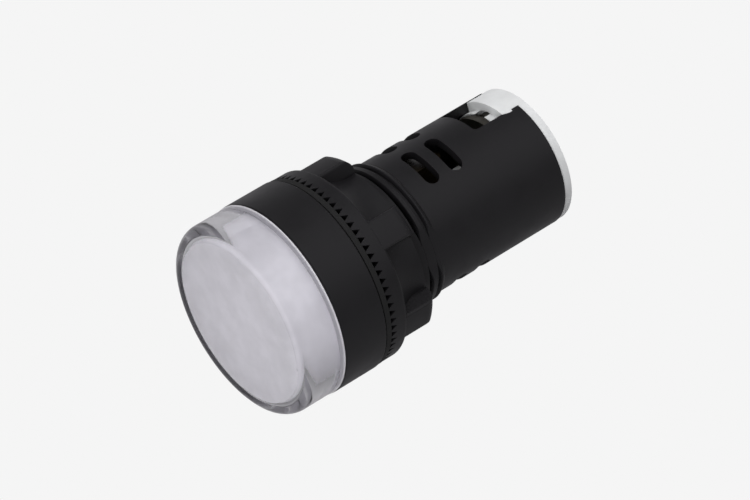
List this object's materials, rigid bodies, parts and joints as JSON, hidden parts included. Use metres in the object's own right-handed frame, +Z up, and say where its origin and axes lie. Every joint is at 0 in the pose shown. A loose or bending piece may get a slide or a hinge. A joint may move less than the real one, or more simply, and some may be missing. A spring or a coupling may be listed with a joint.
{
  "type": "panel pilot light",
  "caption": "Round panel pilot light: black moulded body with a clear lens over a milky diffuser, clamped by a toothed lug nut, with screw terminals at the rear.",
  "frame": {"origin": "on the lamp's axis, in the rear face of the bezel, where the panel seats", "axes": "+Y along the lamp's axis, from the lens towards the terminals; +Z up, through the wire notch of terminal 1; +X to the right as seen from the lens"},
  "size_m": [0.029, 0.0513, 0.029],
  "materials": {
    "housing_plastic": "satin",
    "lens_clear": "polished",
    "diffuser_milk": "milky",
    "lamp_board_white": "solder mask",
    "led_epoxy": "clear",
    "header_plastic": "moulded",
    "power_board_laminate": "solder mask",
    "film_capacitor": "dipped",
    "capacitor_sleeve": "sleeved",
    "rectifier_epoxy": "moulded",
    "resistor_tan": "lacquered",
    "resistor_grey": "lacquered",
    "diode_glass": "glass",
    "terminal_white": "moulded",
    "contact_tin": "tin plated",
    "clamp_steel": "nickel plated",
    "screw_steel": "nickel plated",
    "gasket_rubber": "moulded",
    "nut_plastic": "satin"
  },
  "bodies": {
    "housing": {"housing": "housing_plastic", "lens": "lens_clear", "diffuser": "diffuser_milk", "lamp_board": "lamp_board_white", "led_1": "led_epoxy", "led_2": "led_epoxy", "led_3": "led_epoxy", "led_4": "led_epoxy", "led_5": "led_epoxy", "led_6": "led_epoxy", "pin_header": "header_plastic", "power_board": "power_board_laminate", "dropper_capacitor": "film_capacitor", "smoothing_capacitor": "capacitor_sleeve", "bridge_rectifier": "rectifier_epoxy", "bleeder_resistor": "resistor_tan", "series_resistor": "resistor_grey", "zener_diode": "diode_glass", "terminal_block": "terminal_white", "contact_plate_1": "contact_tin", "contact_plate_2": "contact_tin"},
    "gasket": {"gasket": "gasket_rubber"},
    "nut": {"panel_nut": "nut_plastic"},
    "washer_1": {"clamp_washer_1": "clamp_steel"},
    "screw_1": {"terminal_screw_1": "screw_steel"},
    "washer_2": {"clamp_washer_2": "clamp_steel"},
    "screw_2": {"terminal_screw_2": "screw_steel"}
  },
  "joints": [
    {"name": "gasket_slide", "type": "slide", "parent": "housing", "child": "gasket", "axis": [0, 1, 0], "range_m": [0, 0.009]},
    {"name": "nut_turn", "type": "hinge", "parent": "gasket", "child": "nut", "pos_m": [0, 0.005, 0], "axis": [0, 1, 0], "range_deg": [0, 2160]},
    {"name": "washer_1_slide", "type": "slide", "parent": "housing", "child": "washer_1", "axis": [0, 1, 0], "range_m": [0, 0.0024]},
    {"name": "screw_1_turn", "type": "hinge", "parent": "washer_1", "child": "screw_1", "pos_m": [0, 0.0323, 0.0053], "axis": [0, 1, 0], "range_deg": [0, 1440]},
    {"name": "washer_2_slide", "type": "slide", "parent": "housing", "child": "washer_2", "axis": [0, 1, 0], "range_m": [0, 0.0024]},
    {"name": "screw_2_turn", "type": "hinge", "parent": "washer_2", "child": "screw_2", "pos_m": [0, 0.0323, -0.0053], "axis": [0, 1, 0], "range_deg": [0, 1440]}
  ],
  "couplings": [
    {"joint": "nut_turn", "follows": "gasket_slide", "rad_per_m": 4188.8},
    {"joint": "screw_1_turn", "follows": "washer_1_slide", "rad_per_m": 10472},
    {"joint": "screw_2_turn", "follows": "washer_2_slide", "rad_per_m": 10472}
  ]
}
